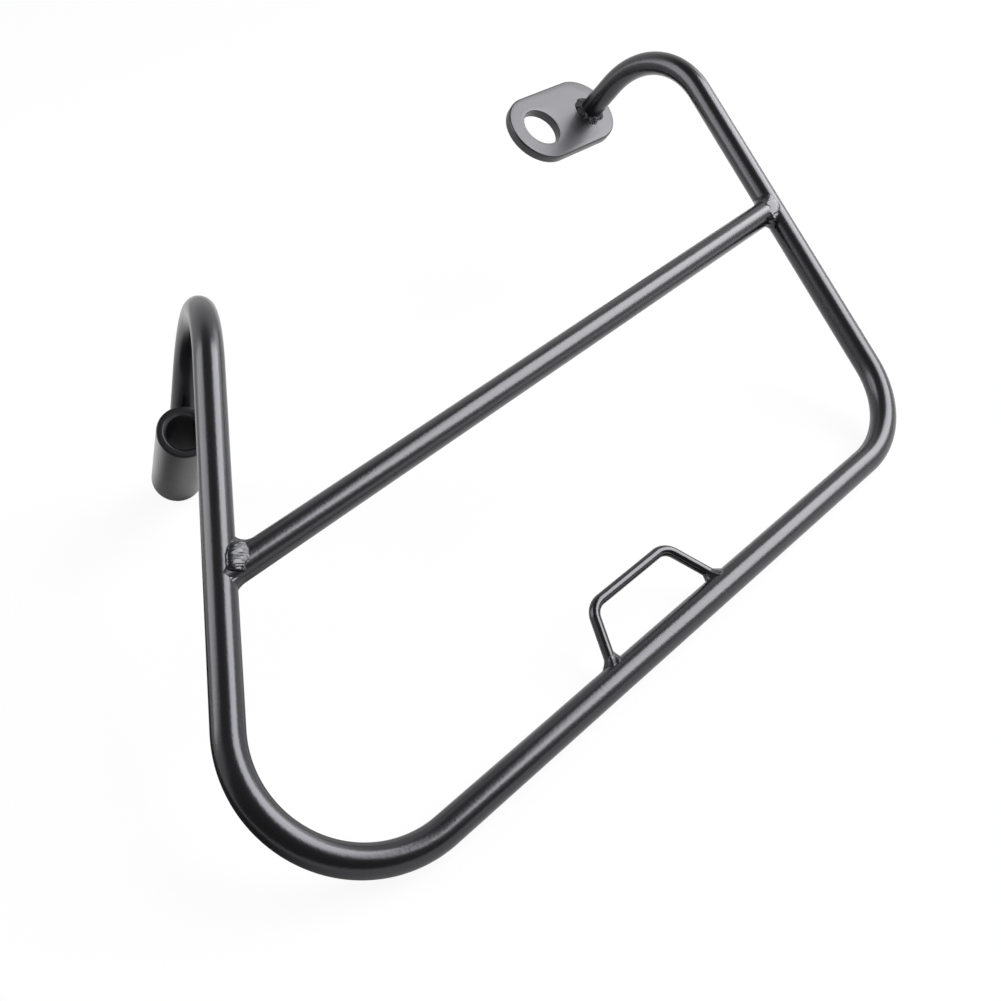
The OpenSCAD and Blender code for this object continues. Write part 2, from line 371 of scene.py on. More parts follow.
    @cached_property
    def lean(self) -> float:
        """Angle between the hoop's plane and the floor, in radians.

        The lower bar and the rim of the sleeve touch the floor. The rim reaches
        r * sqrt(1 - (axis . up)^2) below its centre, which depends on the angle, so a few
        passes settle it.

        Returns:
            The angle, which is about 34.5 degrees.
        """
        lean = math.radians(self.lean_guess)
        axis, rear = self.sleeve_axis, self.sleeve_rear
        far = math.hypot(rear[1], rear[2])
        for _ in range(self.lean_passes):
            up = axis[2] * math.sin(lean) - axis[1] * math.cos(lean)
            below = self.sleeve_d / 2 * math.sqrt(1 - up * up)
            lean = math.atan2(rear[1], rear[2]) + math.asin((below - self.bar_r) / far)
        return lean

    @cached_property
    def laid_axes(self) -> np.ndarray:
        """The finished frame's axes as rows, in the hoop's own axes."""
        s, c = math.sin(self.lean), math.cos(self.lean)
        return np.array([[1, 0, 0], [0, s, c], [0, -c, s]])

    @cached_property
    def middle(self) -> np.ndarray:
        """Middle of the finished frame over the floor, in its own axes.

        The outermost reaches are those of the lower left bend, the top bend, the rims of
        the plate's ends and the sleeve's rear rim. A disc's rim reaches
        mid . way + r * sqrt(1 - (axis . way)^2) along a direction.

        Returns:
            The point of the hoop's frame that goes over the origin, at the floor.
        """
        def reach(mid: np.ndarray, axis: np.ndarray, way: np.ndarray, r: float) -> float:
            """How far a disc reaches along a direction."""
            return float(mid @ way + r * math.sqrt(1 - (axis @ way) ** 2))

        cut = bend_cut(self.bend_r, 180 - self.left_angle)
        low = np.array([cut - self.bend_r - self.bar_r, -self.bar_r])
        turn = math.atan2(self.right_dir[0], -self.top_out[0])
        bend = round_arc(turn, self.right_dir, self.top_out)
        top = self.right_corner + self.right_dir * self.right_len + bend * self.bend_r
        discs = [self.hole_mid + self.plate_long * x - self.plate_axis * z
                 for x in (0, self.plate_span) for z in (0, self.plate_t)]
        rims = [[reach(mid, self.plate_axis, way, self.plate_w / 2) for mid in discs]
                for way in self.laid_axes[:2]]
        rear = reach(self.sleeve_rear, self.sleeve_axis, self.laid_axes[1], self.sleeve_d / 2)
        high = np.array([max(rims[0] + [top[0] + self.bar_r]), max(rims[1] + [rear])])
        return np.append((low + high) / 2, -self.bar_r)

    def laid(self, points: np.ndarray) -> np.ndarray:
        """Leans points of the hoop back onto the floor, over the origin.

        Args:
            points: points in the hoop's axes, (..., 3), in millimetres.

        Returns:
            The same points in the part's frame, in metres.
        """
        return (points @ self.laid_axes.T - self.middle) * MM


# Meshes

@dataclass
class Shell:
    """A closed surface on a grid of rows and columns, with a pole at each end or none."""

    grid: np.ndarray
    poles: Optional[tuple[np.ndarray, np.ndarray]] = None
    shades: dict[str, np.ndarray] = field(default_factory=dict)

    def faces(self) -> list[tuple[int, ...]]:
        """Quads between neighbouring rows and columns, and triangles round the poles.

        Columns always wrap. Rows wrap too where there are no poles.

        Returns:
            Vertex numbers of each face.
        """
        rows, cols = self.grid.shape[:2]
        number = np.arange(rows * cols).reshape(rows, cols)
        if self.poles is None:
            number = np.vstack([number, number[:1]])
        a, b = number[:-1], number[1:]
        quads = np.stack([a, np.roll(a, -1, 1), np.roll(b, -1, 1), b], -1).reshape(-1, 4)
        found = quads.tolist()
        if self.poles is not None:
            first, last = number[0], number[-1]
            south, north = rows * cols, rows * cols + 1
            found += np.stack([np.roll(first, -1), first, np.full(cols, south)], -1).tolist()
            found += np.stack([last, np.roll(last, -1), np.full(cols, north)], -1).tolist()
        return found

    def points(self) -> np.ndarray:
        """All vertices, the grid's first and then the poles."""
        flat = self.grid.reshape(-1, 3)
        return flat if self.poles is None else np.vstack([flat, *self.poles])


def add_object(name: str, data: bpy.types.ID) -> bpy.types.Object:
    """Puts a mesh, a lamp or a camera into the scene."""
    made = bpy.data.objects.new(name, data)
    bpy.context.collection.objects.link(made)
    return made


def piece(name: str, shells: list[Shell], node: str, finish: bpy.types.Material,
          layout: Layout, crease: float = 38) -> bpy.types.Object:
    """Makes one piece of the part from closed surfaces and stands it in for its node.

    Args:
        name: name of the piece.
        shells: its closed surfaces, in the hoop's axes.
        node: the CAD node that it stands for.
        finish: its material.
        layout: where the hoop lies.
        crease: edges sharper than this many degrees stay sharp.

    Returns:
        The new object, at the origin.
    """
    points, faces, start = [], [], 0
    for shell in shells:
        found = shell.points()
        points.append(layout.laid(found))
        faces += [tuple(start + i for i in face) for face in shell.faces()]
        start += len(found)
    mesh = bpy.data.meshes.new(name)
    mesh.from_pydata(np.vstack(points).tolist(), [], faces)
    mesh.update()
    for key in shells[0].shades:
        layer = mesh.attributes.new(key, "FLOAT", "POINT")
        layer.data.foreach_set("value", np.concatenate([s.shades[key] for s in shells]))
    turn_outwards(mesh)
    mesh.polygons.foreach_set("use_smooth", np.ones(len(mesh.polygons), bool))
    mesh.set_sharp_from_angle(angle=math.radians(crease))
    mesh.materials.append(finish)
    made = add_object(name, mesh)
    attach(made, BODY)
    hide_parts(node)
    log.info("%s: %d faces, for %s", name, len(mesh.polygons), node)
    return made


def turn_outwards(mesh: bpy.types.Mesh) -> None:
    """Turns every face of closed surfaces outwards, by the sign of the volume.

    The volume is a sixth of the sum of a . (b x c) over the triangles.

    Args:
        mesh: the mesh, whose faces of each surface already agree.
    """
    mesh.calc_loop_triangles()
    corners = np.empty(len(mesh.loop_triangles) * 3, np.int64)
    mesh.loop_triangles.foreach_get("vertices", corners)
    at = np.empty(len(mesh.vertices) * 3)
    mesh.vertices.foreach_get("co", at)
    a, b, c = np.moveaxis(at.reshape(-1, 3)[corners.reshape(-1, 3)], 1, 0)
    if (a * np.cross(b, c)).sum() < 0:
        mesh.flip_normals()


@dataclass(frozen=True)
class Straight:
    """A straight stretch of a bar's centre line."""

    length: float
    step: float = 6


@dataclass(frozen=True)
class Bend:
    """A bend of a bar's centre line about one radius, towards a direction."""

    radius: float
    degrees: float
    towards: np.ndarray
    step: float = 1.5


@dataclass
class CentreLine:
    """Stations along a bar: places, the way ahead and one way square to it."""

    at: np.ndarray
    ahead: np.ndarray
    side: np.ndarray

    @classmethod
    def walk(cls, start: np.ndarray, ahead: np.ndarray, side: np.ndarray,
             steps: list[Union[Straight, Bend]]) -> "CentreLine":
        """Walks straights and bends, and carries the side along without twist.

        A straight adds length * t * ahead. A bend adds
        radius * ((1 - cos a) * towards + sin a * ahead), and turns ahead and side about
        the axis ahead x towards by a.

        Args:
            start: first point.
            ahead: unit way at the start.
            side: unit vector square to it.
            steps: the stretches in order.

        Returns:
            The centre line.
        """
        ats, ways, sides = [start[None]], [ahead[None]], [side[None]]
        for step in steps:
            if isinstance(step, Straight):
                count = max(int(math.ceil(step.length / step.step)), 1)
                t = np.linspace(0, step.length, count + 1)[1:, None]
                ats.append(start + ahead * t)
                ways.append(np.repeat(ahead[None], count, 0))
                sides.append(np.repeat(side[None], count, 0))
            else:
                count = int(math.ceil(step.degrees / step.step))
                a = np.radians(np.linspace(0, step.degrees, count + 1)[1:, None])
                to = step.towards
                axis = np.cross(ahead, to)
                level = square_part(side, axis)
                ats.append(start + step.radius * round_arc(a, ahead, to))
                ways.append(np.cos(a) * ahead + np.sin(a) * to)
                sides.append(side - level + np.cos(a) * level
                             + np.sin(a) * np.cross(axis, level))
            start, ahead, side = ats[-1][-1], ways[-1][-1], sides[-1][-1]
        return cls(np.vstack(ats), np.vstack(ways), np.vstack(sides))

    def reversed(self) -> "CentreLine":
        """The same line walked from its end."""
        return CentreLine(self.at[::-1], -self.ahead[::-1], self.side[::-1])

    def joined(self, other: "CentreLine") -> "CentreLine":
        """This line and one that starts at its end, without the doubled station."""
        return CentreLine(*(np.vstack([a, b[1:]]) for a, b in (
            (self.at, other.at), (self.ahead, other.ahead), (self.side, other.side))))

    def tube(self, radius: float, around: int, start: Face, end: Face) -> Shell:
        """Carries a circle along the line and copes both ends to faces.

        A ring is at + radius * (cos u * side + sin u * (ahead x side)). At an end, each
        point of the ring, and of the disc inside it, runs straight on into the face.

        Args:
            radius: radius of the bar.
            around: points in a ring.
            start: face that the first end is coped to.
            end: face that the last end is coped to.

        Returns:
            The closed surface.
        """
        u = np.linspace(0, FULL_TURN, around, endpoint=False)[None, :, None]
        across = np.cross(self.ahead, self.side)[:, None]
        spoke = np.cos(u) * self.side[:, None] + np.sin(u) * across
        rings = self.at[:, None] + radius * spoke
        shares = np.array(DISC_SHARES)[:, None, None]
        poles, discs = [], []
        for i, face, way in ((0, start, -self.ahead[0]), (-1, end, self.ahead[-1])):
            disc = self.at[i] + radius * shares * spoke[i]
            disc, pole, rings[i] = (
                p + (face.reach(p, way) + COPE_SINK)[..., None] * way
                for p in (disc, self.at[i][None], rings[i]))
            poles.append(pole)
            discs.append(disc)
        grid = np.vstack([discs[0], rings, discs[1][::-1]])
        return Shell(grid, (poles[0], poles[1]))


# Finishes

class Socket:
    """A socket of a shader graph, which takes the signs of arithmetic."""

    def __init__(self, graph: "Graph", socket: bpy.types.NodeSocket) -> None:
        """Keeps the graph that new nodes go to and the socket itself."""
        self.graph = graph
        self.socket = socket

    def _maths(self, operation: str, *values: object) -> "Socket":
        """Adds one Math node."""
        return self.graph.node("ShaderNodeMath", {"operation": operation}, *values)

    def __add__(self, other: object) -> "Socket":
        """Adds."""
        return self._maths("ADD", self, other)

    __radd__ = __add__

    def __sub__(self, other: object) -> "Socket":
        """Takes away."""
        return self._maths("SUBTRACT", self, other)

    def __rsub__(self, other: object) -> "Socket":
        """Takes this away from the other."""
        return self._maths("SUBTRACT", other, self)

    def __mul__(self, other: object) -> "Socket":
        """Multiplies."""
        return self._maths("MULTIPLY", self, other)

    __rmul__ = __mul__

    def __pow__(self, other: object) -> "Socket":
        """Raises to a power."""
        return self._maths("POWER", self, other)

    def above(self, low: float, high: float) -> "Socket":
        """Rises from 0 to 1 between two values."""
        return self.graph.node("ShaderNodeMapRange", {"interpolation_type": "SMOOTHSTEP"},
                               self, low, high, 0.0, 1.0)


class Graph:
    """The node graph of one material or of the world."""

    def __init__(self, owner: Union[bpy.types.Material, bpy.types.World]) -> None:
        """Empties the owner's graph and keeps it."""
        owner.use_nodes = True
        self.tree = owner.node_tree
        self.tree.nodes.clear()

    def node(self, kind: str, settings: Optional[dict[str, object]] = None,
             *values: object, out: Union[int, str] = 0, **named: object) -> Optional[Socket]:
        """Adds a node.

        Args:
            kind: the node's type.
            settings: its properties, which are set first.
            *values: values or links of its first sockets, in order. None leaves one be.
            out: the output to return.
            **named: values or links of sockets by name, with _ for a space.

        Returns:
            The chosen output, or None for a node that has none.
        """
        made = self.tree.nodes.new(kind)
        for key, value in (settings or {}).items():
            setattr(made, key, value)
        for i, value in enumerate(values):
            self.feed(made.inputs[i], value)
        for key, value in named.items():
            self.feed(made.inputs[key.replace("_", " ")], value)
        return Socket(self, made.outputs[out]) if made.outputs else None

    def feed(self, socket: bpy.types.NodeSocket, value: object) -> None:
        """Links a socket to a Socket, or sets its value."""
        if isinstance(value, Socket):
            self.tree.links.new(value.socket, socket)
        elif value is not None:
            socket.default_value = value

    def mix(self, share: object, a: object, b: object) -> Socket:
        """Mixes two colours.

        Args:
            share: share of the second.
            a: first colour, as a Socket or four numbers.
            b: second colour, as a Socket or four numbers.

        Returns:
            The mixed colour.
        """
        return self.node("ShaderNodeMix", {"data_type": "RGBA"}, share,
                         *(None,) * MIX_SKIPPED, a, b, out=MIX_COLOUR)

    def axes(self, vector: Socket, names: str = "XYZ") -> list[Socket]:
        """The named axes of a vector, in order."""
        return [self.node("ShaderNodeSeparateXYZ", None, vector, out=name)
                for name in names]


def grey(value: float, blue: float = 0.0) -> tuple[float, float, float, float]:
    """A grey of a linear value, a touch bluer where asked."""
    return (value, value, value * (1 + blue), 1.0)


@dataclass(frozen=True)
class PowderCoat:
    """Black powder coat with a fine orange peel and the odd fleck of dust.

    Scales are in cells per metre, depths in metres. Where the coat is thin, as in a bore,
    it is dull and lumpy.
    """

    name: str
    base: float = 0.006
    blue: float = 0.06
    tint_scale: float = 28.0
    tint_shares: tuple[float, float] = (0.9, 1.15)
    tint_from: float = 0.3
    tint_to: float = 0.75
    sheen_tint: tuple[float, float, float, float] = (0.93, 0.93, 1.0, 1.0)
    gloss_rough: float = 0.24
    rough_spread: float = 0.05
    ior: float = 1.58
    peel_scale: float = 900.0
    peel_depth: float = 0.00003
    grain_scale: float = 3200.0
    grain_depth: float = 0.00001
    speck_scale: float = 260.0
    speck_share: float = 0.012
    speck_core: float = 0.03
    speck_rim: float = 0.055
    speck_white: float = 0.16
    speck_rough: float = 0.3
    lump_scale: float = 0.0
    lump_depth: float = 0.0
    thin_in: str = ""
    thin_rough: float = 0.62
    thin_scale: float = 700.0
    thin_depth: float = 0.00012

    def build(self) -> bpy.types.Material:
        """Makes the material.

        The peel is noise at two scales, fed to a Bump node. Colour and roughness wander
        with a slow noise, and a fleck of dust is the small bright centre of a cell. Where
        the point attribute thin_in is one, the coat is thin.

        Returns:
            The material.
        """
        made = bpy.data.materials.new(self.name)
        graph = Graph(made)
        place = graph.node("ShaderNodeTexCoord", out="Object")

        def noise(scale: float, detail: float) -> Socket:
            """Noise of one scale."""
            return graph.node("ShaderNodeTexNoise", None, Vector=place, Scale=scale,
                              Detail=detail)

        slow = noise(self.tint_scale, 2.0)
        height = (noise(self.peel_scale, 1.0) * self.peel_depth
                  + noise(self.grain_scale, 2.0) * self.grain_depth)
        if self.lump_depth:
            height = height + noise(self.lump_scale, 2.0) * self.lump_depth
        if self.thin_in:
            thin = graph.node("ShaderNodeAttribute", {"attribute_name": self.thin_in},
                              out="Fac")
            height = height + noise(self.thin_scale, 3.0) * thin * self.thin_depth
        bump = graph.node("ShaderNodeBump", None, Strength=1.0, Distance=1.0, Height=height)
        fleck, pick = (graph.node("ShaderNodeTexVoronoi", {"feature": "F1"}, Vector=place,
                                  Scale=self.speck_scale, Randomness=1.0, out=out)
                       for out in ("Distance", "Color"))
        chance = graph.node("ShaderNodeSeparateColor", None, pick)
        dust = ((1 - fleck.above(self.speck_core, self.speck_rim))
                * chance.above(1 - self.speck_share, 1.0))
        dark, light = (grey(self.base * share, self.blue) for share in self.tint_shares)
        tint = graph.mix(slow.above(self.tint_from, self.tint_to), dark, light)
        colour = graph.mix(dust, tint, grey(self.speck_white))
        rough = slow * self.rough_spread + (self.gloss_rough - self.rough_spread / 2)
        rough = rough + dust * self.speck_rough
        if self.thin_in:
            rough = rough + thin * (self.thin_rough - self.gloss_rough)
        shader = graph.node("ShaderNodeBsdfPrincipled", None, Base_Color=colour,
                            Roughness=rough, Normal=bump, IOR=self.ior,
                            Specular_Tint=self.sheen_tint)
        graph.node("ShaderNodeOutputMaterial", None, Surface=shader)
        return made


# Pieces

@dataclass
class HoopBar:
    """The one bent bar of the hoop, with both arms.

    Its last stations stand clear of the sleeve and the plate, and the cope runs on.
    """

    layout: Layout
    around: int = 96
    sleeve_clear: float = 6
    plate_clear: float = 3

    def line(self) -> CentreLine:
        """Centre line from the sleeve to the plate, laid out from the lower bar's middle."""
        lay = self.layout
        half = X * lay.base_len / 2
        halves = []
        for way, turn, side, roll, upper, arm in (
                (-X, 180 - lay.left_angle, lay.left_len, Y, lay.hairpin_angle,
                 lay.sleeve_arm - lay.sleeve_d / 2 - self.sleeve_clear),
                (X, lay.right_angle, lay.right_len, lay.top_out, lay.top_angle,
                 lay.plate_arm - self.plate_clear)):
            cut = bend_cut(lay.bend_r, turn)
            halves.append(CentreLine.walk(half, way, Z, [
                Straight(lay.base_len / 2 - cut), Bend(lay.bend_r, turn, Z),
                Straight(side - cut), Bend(lay.bend_r, upper, roll), Straight(arm)]))
        left, right = halves
        return left.reversed().joined(right)

    def build(self, finish: bpy.types.Material) -> bpy.types.Object:
        """Sweeps the bar and copes its ends to the sleeve and the plate."""
        lay = self.layout
        bar = self.line().tube(lay.bar_r, self.around, lay.sleeve_face, lay.plate_face)
        return piece("hoop_bar_coated", [bar], "hoop_bar", finish, lay)


@dataclass
class CrossBar:
    """The straight bar across the hoop."""

    layout: Layout
    around: int = 96
    clear: float = 9

    def build(self, finish: bpy.types.Material) -> bpy.types.Object:
        """Sweeps the bar between the two sides and copes both ends to them."""
        lay = self.layout
        a, b = lay.cross_ends
        way = unit(b - a)
        length = float(np.linalg.norm(b - a)) - 2 * self.clear
        line = CentreLine.walk(a + way * self.clear, way, Y, [Straight(length)])
        bar = line.tube(lay.bar_r, self.around, *lay.side_faces)
        return piece("cross_bar_coated", [bar], "cross_bar", finish, lay)


@dataclass
class StrapLoop:
    """The wire loop on the lower bar."""

    layout: Layout
    around: int = 48
    clear: float = 9
    straight_step: float = 3
    bend_step: float = 4

    def build(self, finish: bpy.types.Material) -> bpy.types.Object:
        """Sweeps the wire from foot to foot and copes both ends to the lower bar."""
        lay = self.layout
        a, b, c, d = lay.strap_corners
        up, down, r = unit(b - a), unit(d - c), lay.strap_bend_r
        turns = [math.degrees(math.acos(float(p @ q))) for p, q in ((up, X), (X, down))]
        cuts = [bend_cut(r, turn) for turn in turns]
        rise, fall = (float(np.linalg.norm(leg)) - self.clear - cut
                      for leg, cut in zip((b - a, d - c), cuts))
        line = CentreLine.walk(a + up * self.clear, up, Y, [
            Straight(rise, self.straight_step),
            Bend(r, turns[0], unit(square_part(X, up)), self.bend_step),
            Straight(lay.strap_top_w - sum(cuts), self.straight_step),
            Bend(r, turns[1], unit(square_part(down, X)), self.bend_step),
            Straight(fall, self.straight_step)])
        wire = line.tube(lay.wire_d / 2, self.around, lay.lower_face, lay.lower_face)
        return piece("strap_loop_coated", [wire], "strap_loop", finish, lay)


@dataclass
class MountSleeve:
    """The thick sleeve at the end of the left arm.

    The coat of the bore thins over a few millimetres from each chamfer.
    """

    layout: Layout
    around: int = 128
    rim_round: float = 0.7
    bore_round: float = 0.25
    rim_points: int = 7
    lip_points: int = 4
    throat_points: int = 4
    bore_points: int = 6
    side_points: int = 12
    side_margin: float = 2
    thinning: float = 4
    slack: float = 0.01

    def profile(self) -> np.ndarray:
        """Closed profile of the wall as (radius, height) pairs.

        Outside corners are quarter circles of rim_round, and each chamfer of the bore
        starts in an eighth of a circle of bore_round. The rear end mirrors the front.
        """
        lay = self.layout
        outer, inner, c = lay.sleeve_d / 2, lay.sleeve_bore / 2, lay.sleeve_chamfer
        low, high = lay.sleeve_front - lay.sleeve_len, lay.sleeve_front

        def arc(centre: float, r: float, start: float, end: float, count: int) -> np.ndarray:
            """An arc under the front end, between two angles from square to the axis."""
            a = np.radians(np.linspace(start, end, count))
            return np.stack([centre + r * np.cos(a), high - r + r * np.sin(a)], -1)

        def wall(radius: float, start: float, end: float, count: int) -> np.ndarray:
            """A straight wall between two heights."""
            return np.stack([np.full(count, radius), np.linspace(start, end, count)], -1)

        def rear(front: np.ndarray) -> np.ndarray:
            """The same stretch at the rear end, walked the other way."""
            return np.stack([front[::-1, 0], low + high - front[::-1, 1]], -1)

        lip_at = inner + c + self.bore_round * math.tan(math.pi / 8)
        top = arc(outer - self.rim_round, self.rim_round, 0, 90, self.rim_points)
        lip = arc(lip_at, self.bore_round, 90, 135, self.lip_points)
        start = high - c
        throat = wall(inner, start, start - self.thinning, self.throat_points)
        depth = wall(inner, start - 2 * self.thinning, low + c, self.bore_points)
        side = wall(outer, low + self.side_margin, high - self.side_margin, self.side_points)
        return np.vstack([top, lip, throat, depth, rear(lip), rear(top), side])

    def bore_share(self, radius: np.ndarray, height: np.ndarray) -> np.ndarray:
        """One on the bore's wall between the chamfers and nought elsewhere."""
        lay = self.layout
        high, low = lay.sleeve_front, lay.sleeve_front - lay.sleeve_len
        inside = radius < lay.sleeve_bore / 2 + self.slack
        deep = np.minimum(high - height, height - low) - lay.sleeve_chamfer
        return np.where(inside, np.clip(deep / self.thinning, 0, 1), 0.0)

    def build(self, finish: bpy.types.Material) -> bpy.types.Object:
        """Turns the profile about the sleeve's axis."""
        lay = self.layout
        radius, height = self.profile().T
        u = np.linspace(0, FULL_TURN, self.around, endpoint=False)[None, :, None]
        first = unit(np.cross(lay.sleeve_axis, X))
        second = np.cross(lay.sleeve_axis, first)
        grid = (lay.sleeve_mid + height[:, None, None] * lay.sleeve_axis
                + radius[:, None, None] * (np.cos(u) * first + np.sin(u) * second))
        share = np.repeat(self.bore_share(radius, height), self.around)
        shell = Shell(grid, shades={BORE_WALL: share})
        return piece("mount_sleeve_coated", [shell], "mount_sleeve", finish, lay)


@dataclass
class MountPlate:
    """The obround plate at the end of the right arm, with its bolt hole."""

    layout: Layout
    around: int = 256
    rim_round: float = 0.9
    hole_round: float = 0.45
    corner_points: int = 6
    face_shares: tuple[float, ...] = (0.2, 0.4, 0.6, 0.8)

    def outline(self, inset: float) -> np.ndarray:
        """Points on the obround, each inset square to it.

        The centre line of the obround is a segment of plate_span. A point is the foot on
        that segment plus (half width - inset) times the outward normal. Points are even
        along the outline.
        """
        lay = self.layout
        r, span = lay.plate_w / 2, lay.plate_span
        total = 2 * span + FULL_TURN * r
        s = np.linspace(0, total, self.around, endpoint=False)
        arc = math.pi * r
        marks = np.array([0, arc, arc + span, 2 * arc + span, total])
        foot = np.interp(s, marks, [span, span, 0, 0, span])
        angle = np.interp(s, marks, np.radians([-90, 90, 90, 270, 270]))
        return np.stack([foot + (r - inset) * np.cos(angle), (r - inset) * np.sin(angle)], -1)

    def hole(self, inset: float) -> np.ndarray:
        """Points on the bolt hole's rim, widened, each facing its outline point."""
        way = unit(self.outline(0.0))
        return way * (self.layout.plate_hole / 2 + inset)

    def build(self, finish: bpy.types.Material) -> bpy.types.Object:
        """Carries the wall's profile round the plate, from the hole to the rim and back.

        The rear half of the profile mirrors the front, z to -thickness - z.
        """
        lay = self.layout
        e, r = self.hole_round, self.rim_round
        inner, outer = self.hole(e), self.outline(r)
        quarter = np.radians(np.linspace(0, 90, self.corner_points))
        front = [(self.hole(e * (1 - math.cos(a))), -e * (1 - math.sin(a))) for a in quarter]
        front += [(inner * (1 - share) + outer * share, 0.0) for share in self.face_shares]
        front += [(self.outline(r * (1 - math.sin(a))), -r * (1 - math.cos(a)))
                  for a in quarter]
        rings = front + [(xy, -lay.plate_t - z) for xy, z in reversed(front)]
        flat = np.stack([np.column_stack([xy, np.full(len(xy), z)]) for xy, z in rings])
        axes = np.stack([lay.plate_long, lay.plate_short, lay.plate_axis])
        grid = lay.hole_mid + flat @ axes
        return piece("mount_plate_coated", [Shell(grid)], "mount_plate", finish, lay)


@dataclass(frozen=True)
class Spread:
    """A stretch of a bead that runs wider, by angles round the joint in degrees."""

    around: float
    half: float
    reach: float
    climb: float

    def share(self, u: np.ndarray) -> np.ndarray:
        """How much of the stretch there is at angles u, exp(-(turn / half)^4)."""
        turn = np.angle(np.exp(1j * (u - math.radians(self.around))))
        return np.exp(-((turn / math.radians(self.half)) ** 4))


@dataclass(frozen=True)
class Pad:
    """A patch of weld metal that stands proud of a bead, as a plateau or a drop.

    Ripples of one pitch bow back towards the patch's sides, and their phase wanders by
    wander radians, at so many radians a millimetre along and across.
    """

    top: np.ndarray
    normal: np.ndarray
    along: np.ndarray
    half_along: float
    half_across: float
    thick: float
    square: float = 4.0
    pitch: float = 1.4
    ripple_h: float = 0.0
    bow: float = 0.4
    wander: float = 1.3
    wander_along: float = 1.7
    wander_across: float = 0.9

    def raised(self, points: np.ndarray, share: np.ndarray) -> np.ndarray:
        """Lifts points to the patch.

        With a and b the places along and across the patch in half sizes, the patch falls
        thick * (1 - sqrt(1 - |a|^square - |b|^square)) from its top, and crescent ripples
        of one pitch run along it. A point below the patch moves up to it along the normal.

        Args:
            points: points of the bead, (..., 3).
            share: how much of the lift each point takes, (...).

        Returns:
            The lifted points.
        """
        normal = unit(self.normal)
        along = unit(square_part(self.along, normal))
        offset = points - self.top
        a = offset @ along
        b = offset @ np.cross(normal, along)
        rim = (np.abs(a / self.half_along) ** self.square
               + np.abs(b / self.half_across) ** self.square)
        bow = a + self.bow * b * b / self.half_across
        stray = self.wander * np.sin(self.wander_along * a + self.wander_across * b)
        wave = np.sin(FULL_TURN * bow / self.pitch + stray)
        fall = self.thick * (1 - np.sqrt(np.clip(1 - rim, 0, None)))
        want = wave * self.ripple_h / 2 - fall
        lift = np.where(rim < 1, np.maximum(want - offset @ normal, 0), 0) * share
        return points + lift[..., None] * normal


class Hand(Enum):
    """What wanders along a bead: lowest and highest order round the joint, and a salt."""

    REACH = (1, 6, 1)
    CROWN = (2, 7, 2)
    CLIMB = (1, 6, 3)
    PACE = (1, 5, 4)
    BITE = (1, 4, 5)
    PITS = (23, 41, 6)


